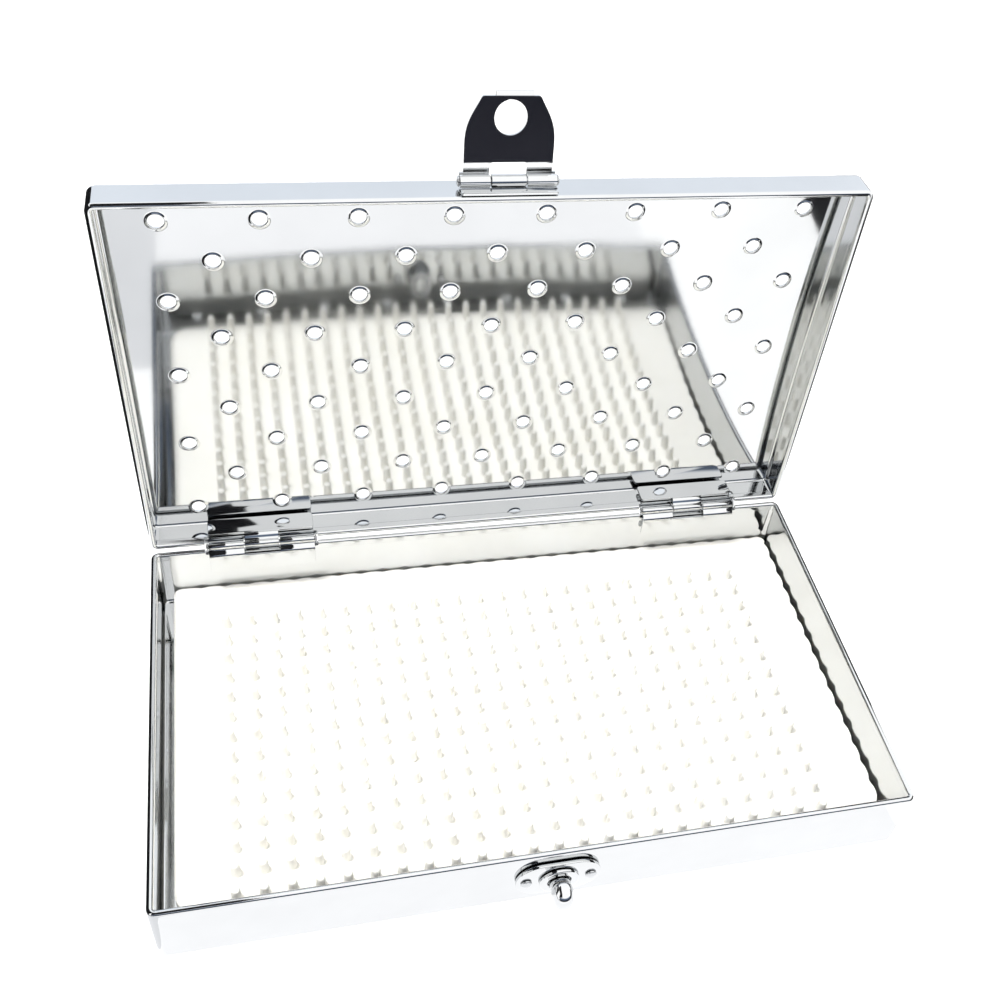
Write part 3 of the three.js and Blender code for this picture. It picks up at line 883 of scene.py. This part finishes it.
ring = [(3.1, out_by(1.6)), (5.15, out_by(1.6)), (5.3, out_by(1.7)), (5.3, out_by(1.95))]
ring += [(4.75 + 0.55 * math.cos(a), out_by(1.95 + 0.55 * math.sin(a))) for a in
         (math.radians(18 * i) for i in range(1, 6))]
ring += [(3.75, out_by(2.5))]
ring += [(3.6 - 0.45 * math.sin(a), out_by(2.05 + 0.45 * math.cos(a))) for a in
         (math.radians(22.5 * i) for i in range(0, 5))]
me = lathe(ring, 64, (0, KNOB_Z)).mesh("ferrule")
facing_out(me)
piece("latch_ring", me, "base", "latch_ferrule", POLISHED, 40)

for side, x in (("left", -8.6), ("right", 8.6)):
    prof = [(0, out_by(2.26))]
    for i in range(1, 7):
        a = math.radians(15 * i)
        prof.append((1.5 * math.sin(a), out_by(1.62 + 0.64 * math.cos(a))))
    prof += [(1.5, out_by(1.5)), (1.4, out_by(1.42)), (0.88, out_by(1.4)), (0.88, WALL_IN + 0.26),
             (1.5, WALL_IN + 0.28), (1.6, WALL_IN + 0.4)]
    for i in range(6, 0, -1):
        a = math.radians(15 * i)
        prof.append((1.6 * math.sin(a), WALL_IN + 0.42 + 0.43 * math.cos(a)))
    prof.append((0, WALL_IN + 0.85))
    me = lathe(prof, 32, (x, KNOB_Z)).mesh("rivet")
    facing_out(me)
    piece(f"rivet_{side}", me, "base", f"latch_rivet_{side}", SATIN, 40)


def knob():
    m = Build()
    n = 64

    def section(p, hx, hz, power):
        pts = []
        for k in range(n):
            a = k / n * TAU
            c, s = math.cos(a), math.sin(a)
            q = (abs(c) ** power + abs(s) ** power) ** (-1 / power)
            pts.append((hx * q * c, out_by(p), KNOB_Z + hz * q * s))
        return m.ring(pts)

    inner = -(SHEET + 3.1)
    rows = [(inner, 2.2, 2.2, 2), (inner + 0.12, 2.42, 2.42, 2), (inner + 0.3, 2.5, 2.5, 2),
            (1.2, 2.5, 2.5, 2), (2.0, 2.52, 2.52, 2), (2.6, 2.7, 2.7, 2), (3.1, 2.72, 2.72, 2)]
    keys = [(3.1, 2.72, 2.72, 2.0), (3.6, 2.6, 2.85, 2.05), (4.0, 2.5, 3.45, 2.2), (4.5, 2.6, 3.95, 2.4),
            (5.2, 2.75, 4.08, 2.5), (6.2, 2.8, 3.95, 2.5), (7.2, 2.68, 3.62, 2.5), (8.1, 2.42, 3.2, 2.4),
            (8.8, 1.98, 2.7, 2.3), (9.25, 1.4, 2.05, 2.2), (9.45, 0.8, 1.3, 2.1)]
    rows += spline(keys, 4)[1:]
    last = None
    for row in rows:
        r = section(*row)
        if last:
            m.bridge(last, r)
        else:
            m.fan(r, (0, out_by(inner - 0.02), KNOB_Z), True)
        last = r
    m.fan(last, (0, out_by(9.5), KNOB_Z))
    me = m.mesh("knob")
    facing_out(me)
    return me


piece("turn_knob_wing", knob(), "knob", "turn_knob", POLISHED, 50)


def washer(r0, r1, y0, y1, e=0.08, wave=0.0, n=56):
    prof = [(r0 + e, y0), (r1 - e, y0), (r1, y0 + e), (r1, y1 - e), (r1 - e, y1), (r0 + e, y1),
            (r0, y1 - e), (r0, y0 + e)]
    m = lathe(prof, n, (0, KNOB_Z))
    if wave:
        m.v = [
            (x, y + wave * math.cos(3 * math.atan2(z - KNOB_Z, x)), z) for x, y, z in m.v
        ]
    me = m.mesh("washer")
    facing_out(me)
    return me


piece("wave_washer", washer(3.0, 4.6, WALL_IN + 0.45, WALL_IN + 0.8, 0.06, 0.15), "base",
      "knob_spring_washer", SATIN, 40)
piece("flat_washer", washer(3.0, 4.6, WALL_IN + 1.25, WALL_IN + 1.75), "base",
      "knob_backing_washer", SATIN, 40)
piece("shaft_collar", washer(2.8, 4.1, WALL_IN + 2.05, WALL_IN + 2.75, 0.14), "knob",
      "knob_retaining_collar", SATIN, 40)


# ------------------------------------------------------------------ floor, cards, light, camera
def floor():
    b = Build()
    n, r = 96, 6.0e3
    a = b.ring([(r * math.cos(k / n * TAU), r * math.sin(k / n * TAU), -0.35) for k in range(n)])
    b.cap(a)
    o = link("floor", b.mesh("floor"))
    mat = bpy.data.materials.new("floor_paper")
    t, s = nodes_of(mat)
    co = t.nodes.new("ShaderNodeTexCoord").outputs["Object"]
    c = noise(t, co, 3, 2)
    t.links.new(
        ramp(t, c.outputs[0], [(0.3, (0.44, 0.44, 0.44, 1)), (0.7, (0.46, 0.46, 0.46, 1))]),
        s.inputs["Base Color"],
    )
    s.inputs["Roughness"].default_value = 0.9
    s.inputs["Specular IOR Level"].default_value = 0.1
    s.inputs["Emission Color"].default_value = (1, 1, 1, 1)
    s.inputs["Emission Strength"].default_value = 0.86
    o.data.materials.append(mat)
    return o


floor()


def card(name, corners, grey, glow_bands=None):
    """A dull card hidden from the camera, from diffuse light and from shadows, so that only reflections show it: a
    painted dark reflection in the steel; with rise it glows up its height, painted bright and dark bands in those
    reflections: (metres, colour).
    """
    b = Build()
    b.cap(b.ring(corners))
    o = link(name, b.mesh(name))
    mat = bpy.data.materials.new(name)
    t, s = nodes_of(mat)
    co = t.nodes.new("ShaderNodeTexCoord").outputs["Object"]
    c = noise(t, co, 2.5, 2)
    t.links.new(
        ramp(t, c.outputs[0], [(0.3, (grey * 0.5, grey * 0.52, grey * 0.6, 1)), (0.7, (grey, grey, grey * 1.1, 1))]),
        s.inputs["Base Color"],
    )
    s.inputs["Roughness"].default_value = 1.0
    s.inputs["Specular IOR Level"].default_value = 0.0
    # the glow up the card's height is painted reflection: bright and dark bands that only the steel shows
    if glow_bands:
        z = t.nodes.new("ShaderNodeSeparateXYZ")
        t.links.new(co, z.inputs[0])
        t.links.new(
            ramp(t, z.outputs["Z"], [(h, tuple(x / 1.6 for x in c) + (1,)) for h, c in glow_bands]),
            s.inputs["Emission Color"],
        )
        s.inputs["Emission Strength"].default_value = 1.6
    o.data.materials.append(mat)
    o.visible_camera = False
    o.visible_diffuse = False
    o.visible_shadow = False
    return o


# Every card below shows only in reflections: the dark ones are painted dark reflections in the steel, the glowing
# ones painted bright bands
card("card_front", [(-500, -400, -0.2), (700, -400, -0.2), (900, -1100, -0.2), (-700, -1100, -0.2)], 0.012)
# card_stand glows white at its foot and top and is near-black to blue-grey between: painted bands in the steel's
# reflections
card("card_stand", [(-420, -300, -0.2), (-420, -300, 290), (520, -300, 290), (520, -300, -0.2)], 0.012,
     [(0.0, (1.5, 1.5, 1.5)), (0.02, (1.45, 1.45, 1.48)), (0.034, (0.02, 0.02, 0.03)), (0.105, (0.01, 0.011, 0.018)),
      (0.13, (0.1, 0.13, 0.19)), (0.225, (0.17, 0.22, 0.31)), (0.27, (1.3, 1.33, 1.38)), (0.29, (1.52, 1.52, 1.52))])
# card_foot and card_foot_left glow flat over the floor before the box, the left one dimmer: painted floor
# reflections in the steel near the box
card("card_foot", [(-101, -57.8, -0.2), (-101, -125, -0.2), (104, -125, -0.2), (104, -57.8, -0.2)], 0.001,
     [(0.0, (1.44, 1.44, 1.46))])
card("card_foot_left", [(-149, -42.5, -0.2), (-149, -125, -0.2), (-101.2, -125, -0.2), (-101.2, -42.5, -0.2)], 0.001,
     [(0.0, (1.1, 1.11, 1.14))])
card("card_side", [(-420, -260, -0.2), (-165, -260, -0.2), (-150, -42, -0.2), (-130, -42, -0.2), (-130, 160, -0.2),
                   (-420, 160, -0.2)], 0.02)
# high to the left and low to the right: painted dark reflections on the sides of the knob
card("card_high", [(-430, -260, 170), (-110, -260, 250), (-110, -260, 520), (-430, -260, 520)], 0.02)
card("card_over", [(-430, -260, 520), (-110, -260, 520), (-110, 120, 520), (-430, 120, 520)], 0.02)
card("card_low", [(190, -170, -0.2), (190, -45, -0.2), (190, -45, 90), (190, -170, 90)], 0.02)
card("card_left", [(-137, -70, -0.2), (-137, 160, -0.2), (-137, 160, 170), (-137, -70, 170)], 0.03)
card("card_right", [(143, -4, -0.2), (143, 165, -0.2), (143, 165, 130), (143, 50, 130), (143, -4, 85)], 0.03)

world = bpy.data.worlds.new("studio")
bpy.context.scene.world = world
world.use_nodes = True
t = world.node_tree
t.nodes.clear()
out = t.nodes.new("ShaderNodeOutputWorld")
lp = t.nodes.new("ShaderNodeLightPath")
co = t.nodes.new("ShaderNodeTexCoord")
sep = t.nodes.new("ShaderNodeSeparateXYZ")
t.links.new(co.outputs["Generated"], sep.inputs[0])


def background(colour, strength):
    b = t.nodes.new("ShaderNodeBackground")
    if isinstance(colour, tuple):
        b.inputs[0].default_value = colour
    else:
        t.links.new(colour, b.inputs[0])
    b.inputs[1].default_value = strength
    return b


# front to back: warm white before the box, pale blue-grey behind it
sky = ramp(
    t,
    sep.outputs["Y"],
    [
        (0.0, (1.0, 0.995, 0.99, 1)),
        (0.45, (0.96, 0.97, 0.98, 1)),
        (0.8, (0.72, 0.76, 0.82, 1)),
        (1.0, (0.68, 0.73, 0.8, 1)),
    ],
)
# glossy rays see this world at 1.55, diffuse rays at 0.2 and camera rays at 1.1: the steel's reflections are painted
# brighter than the light the world sheds
mirror = background(sky, 1.55)
soft = background((1.0, 0.995, 0.985, 1), 0.2)
plain = background((1, 1, 1, 1), 1.1)
m1 = t.nodes.new("ShaderNodeMixShader")
t.links.new(lp.outputs["Is Diffuse Ray"], m1.inputs[0])
t.links.new(mirror.outputs[0], m1.inputs[1])
t.links.new(soft.outputs[0], m1.inputs[2])
m2 = t.nodes.new("ShaderNodeMixShader")
t.links.new(lp.outputs["Is Camera Ray"], m2.inputs[0])
t.links.new(m1.outputs[0], m2.inputs[1])
t.links.new(plain.outputs[0], m2.inputs[2])
t.links.new(m2.outputs[0], out.inputs[0])


def area(name, loc, target, size, power, glossy=True):
    d = bpy.data.lights.new(name, "AREA")
    d.shape, d.size, d.size_y, d.energy = "RECTANGLE", size[0], size[1], power
    o = bpy.data.objects.new(name, d)
    bpy.context.scene.collection.objects.link(o)
    o.location = loc
    o.rotation_euler = (Vector(target) - Vector(loc)).to_track_quat("-Z", "Y").to_euler()
    o.visible_glossy = glossy
    return o


area("key", (-0.35, 0.04, 1.15), (0, 0, 0.02), (0.22, 0.22), 15, False)
area("fill", (-0.12, -0.62, 1.1), (0, 0, 0.02), (0.3, 0.3), 7.2, False)

scene = bpy.context.scene
scene.view_settings.view_transform = "Standard"
scene.view_settings.look = "None"

RVEC = (2.3750368, -0.2113940, 0.2489797)
R = [
    Vector(r)
    for r in (
        Matrix.Rotation(Vector(RVEC).length, 3, Vector(RVEC))
    )
]
cam_data = bpy.data.cameras.new("camera")
cam_data.sensor_width = 36.0
cam_data.lens = 1184.327 / 1000 * 36.0
cam_data.shift_x = (500 - 573.408) / 1000
cam_data.shift_y = (520.843 - 500) / 1000
cam_data.clip_start = 0.01
cam = bpy.data.objects.new("camera", cam_data)
scene.collection.objects.link(cam)
right, down, fwd = R[0], R[1], R[2]
cam.matrix_world = Matrix(
    (
        (right.x, -down.x, -fwd.x, -0.061695),
        (right.y, -down.y, -fwd.y, -0.193424),
        (right.z, -down.z, -fwd.z, 0.295720),
        (0, 0, 0, 1),
    )
)
scene.camera = cam
